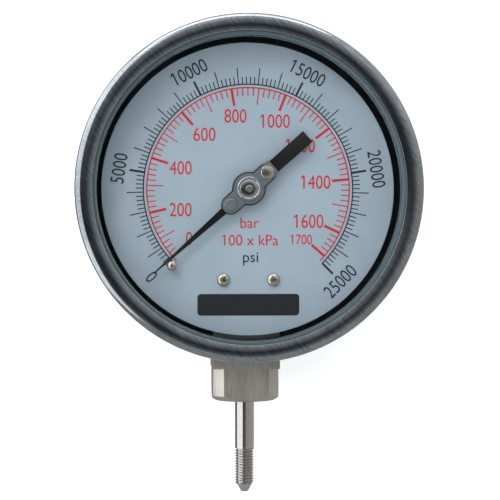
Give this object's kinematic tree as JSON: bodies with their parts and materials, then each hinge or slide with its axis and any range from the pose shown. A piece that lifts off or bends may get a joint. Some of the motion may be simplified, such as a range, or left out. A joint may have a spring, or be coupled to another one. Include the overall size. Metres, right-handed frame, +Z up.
{
  "type": "pressure gauge",
  "caption": "Round dial pressure gauge with a lower stem: coiled pressure tube, geared movement, adjustable pointer, bayonet bezel and a coned and threaded tube inlet.",
  "frame": {"origin": "on the axis of the inlet stem, at the bottom face of the socket where the stem leaves it", "axes": "+Z up along the stem towards the gauge, the dial faces -Y, +X to the right seen from the front"},
  "size_m": [0.111, 0.051, 0.1565],
  "materials": {
    "case_steel": "brushed",
    "bezel_steel": "brushed",
    "gasket_rubber": "matt",
    "glass": "polished",
    "dial_white": "matt",
    "screw_steel": "polished",
    "brass": "satin",
    "pointer_black": "matt",
    "tube_steel": "satin",
    "socket_steel": "machined",
    "black_rubber": "matt"
  },
  "bodies": {
    "gauge_body": {"case": "case_steel", "bezel_ring": "bezel_steel", "window_gasket": "gasket_rubber", "window_glass": "glass", "dial_plate": "dial_white", "dial_screws": "screw_steel", "dial_posts": "brass", "stop_pin": "screw_steel", "bourdon_tube": "tube_steel", "hairspring": "tube_steel", "hairspring_stud": "brass", "movement_rear_plate": "brass", "movement_front_plate": "brass", "movement_pillars": "brass", "plate_screws": "screw_steel", "foot_screws": "screw_steel", "socket": "socket_steel", "socket_pad": "socket_steel", "socket_gasket": "black_rubber", "case_screws": "screw_steel", "inlet_stem": "socket_steel", "vent_plug": "black_rubber", "blowout_disc": "black_rubber"},
    "pointer_arbor": {"centre_arbor": "brass", "centre_pinion": "brass", "hairspring_collet": "brass", "pointer_hub": "screw_steel", "adjust_plate": "screw_steel", "pointer_rivet": "screw_steel"},
    "pointer": {"pointer_blade": "pointer_black"},
    "trim_screw": {"adjust_screw": "screw_steel"},
    "sector": {"sector_gear": "brass", "sector_arbor": "screw_steel", "sector_pin": "screw_steel"},
    "tip_link": {"link": "screw_steel"},
    "tube_tip": {"tip_piece": "tube_steel", "tip_pin": "screw_steel"}
  },
  "joints": [
    {"name": "pointer_turn", "type": "hinge", "parent": "gauge_body", "child": "pointer_arbor", "pos_m": [0, 0, 0.07], "axis": [0, 1, 0], "range_deg": [0, 266.7], "stiffness_Nm_per_rad": 0.000001, "springref_deg": -17.19, "deforming": ["hairspring", "bourdon_tube"]},
    {"name": "sector_swing", "type": "hinge", "parent": "gauge_body", "child": "sector", "pos_m": [0, 0, 0.0934], "axis": [0, -1, 0], "range_deg": [0, 22.23]},
    {"name": "link_swing", "type": "hinge", "parent": "sector", "child": "tip_link", "pos_m": [0.00428, 0, 0.09761], "axis": [0, 1, 0], "range_deg": [0, 21.6]},
    {"name": "tip_swing", "type": "hinge", "parent": "gauge_body", "child": "tube_tip", "pos_m": [0, 0, 0.07], "axis": [0, -1, 0], "range_deg": [0, 4.6]},
    {"name": "trim_screw_turn", "type": "hinge", "parent": "pointer_arbor", "child": "trim_screw", "pos_m": [0.0059, 0, 0.07526], "axis": [0, 1, 0], "range_deg": [0, 78]},
    {"name": "blade_trim", "type": "hinge", "parent": "pointer_arbor", "child": "pointer", "pos_m": [0, 0, 0.07], "axis": [0, 1, 0], "range_deg": [0, 7.95]}
  ],
  "couplings": [
    {"joint": "pointer_turn", "follows": "sector_swing", "ratio": 12},
    {"joint": "link_swing", "follows": "sector_swing", "ratio": 0.96443},
    {"joint": "tip_swing", "follows": "sector_swing", "ratio": 0.20598},
    {"joint": "trim_screw_turn", "follows": "blade_trim", "ratio": 9.775}
  ]
}
